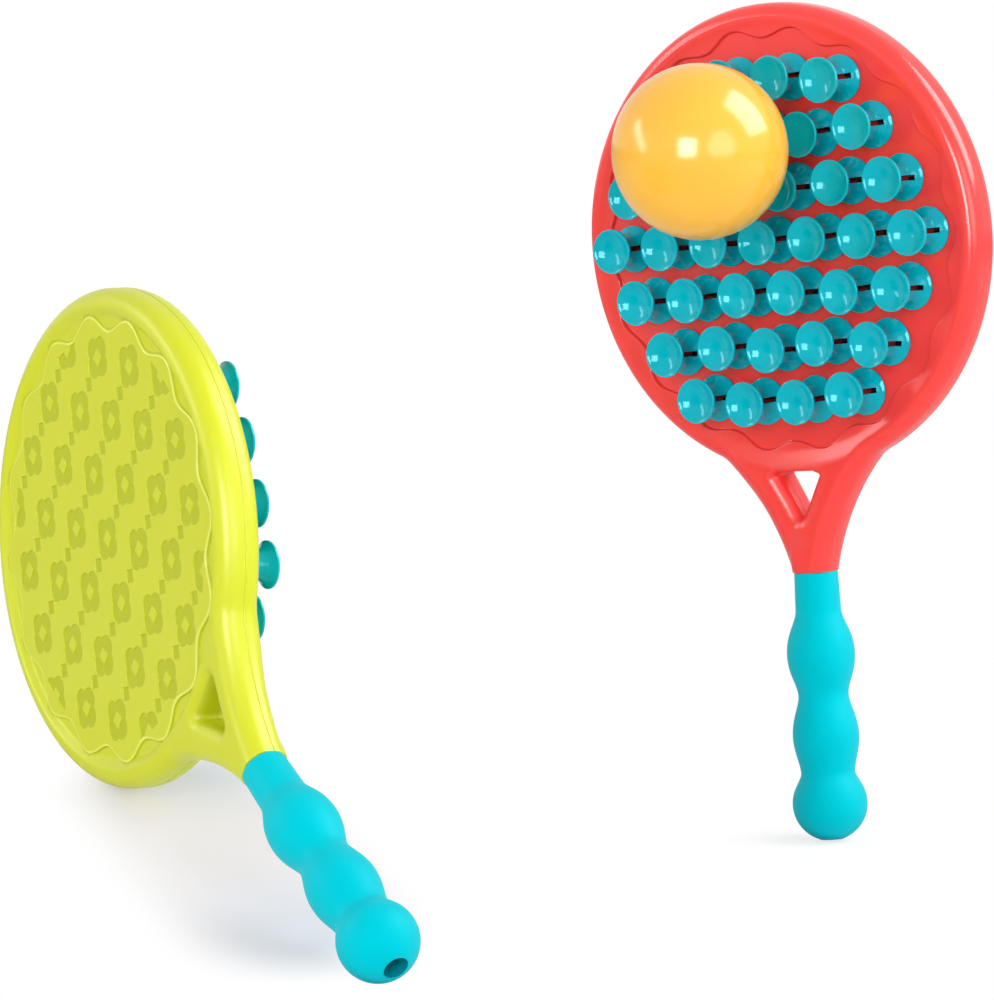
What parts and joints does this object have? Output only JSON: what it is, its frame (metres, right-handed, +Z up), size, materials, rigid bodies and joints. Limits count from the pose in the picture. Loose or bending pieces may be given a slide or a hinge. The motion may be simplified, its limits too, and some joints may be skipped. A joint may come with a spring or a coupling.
{
  "type": "suction paddle ball set",
  "caption": "Pair of round toy paddles with rows of soft suction cups on one face and swelled soft grips, with a hollow ball that sticks to the cups.",
  "frame": {"origin": "on the axis of the coral paddle's grip, 43.5 mm below its top, where the hand holds it", "axes": "+Z up, +X to the right and +Y away from the viewer as pictured; both handle ends touch the level Z = -0.0573 m"},
  "size_m": [0.3603, 0.3637, 0.3122],
  "materials": {
    "coral_plastic": "satin moulded plastic",
    "lime_plastic": "satin moulded plastic",
    "grip_rubber": "soft satin elastomer",
    "cup_rubber": "glossy soft elastomer",
    "ball_plastic": "gloss"
  },
  "bodies": {
    "coral_paddle": {"coral_front_shell": "coral_plastic", "coral_back_shell": "coral_plastic", "coral_grip": "grip_rubber", "coral_cups_row_1": "cup_rubber", "coral_cups_row_2": "cup_rubber", "coral_cups_row_3": "cup_rubber", "coral_cups_row_4": "cup_rubber", "coral_cups_row_5": "cup_rubber", "coral_cups_row_6": "cup_rubber", "coral_cups_row_7": "cup_rubber"},
    "lime_paddle": {"lime_front_shell": "lime_plastic", "lime_back_shell": "lime_plastic", "lime_grip": "grip_rubber", "lime_cups_row_1": "cup_rubber", "lime_cups_row_2": "cup_rubber", "lime_cups_row_3": "cup_rubber", "lime_cups_row_4": "cup_rubber", "lime_cups_row_5": "cup_rubber", "lime_cups_row_6": "cup_rubber", "lime_cups_row_7": "cup_rubber"},
    "ball": {"ball": "ball_plastic"}
  },
  "joints": [
    {"name": "ball_pull_off", "type": "slide", "parent": "coral_paddle", "child": "ball", "axis": [-0.6067, -0.7947, -0.0169], "range_m": [0, 0.12]},
    {"name": "lime_lift", "type": "slide", "parent": "coral_paddle", "child": "lime_paddle", "axis": [0, 0, 1], "range_m": [0, 0.25]}
  ]
}
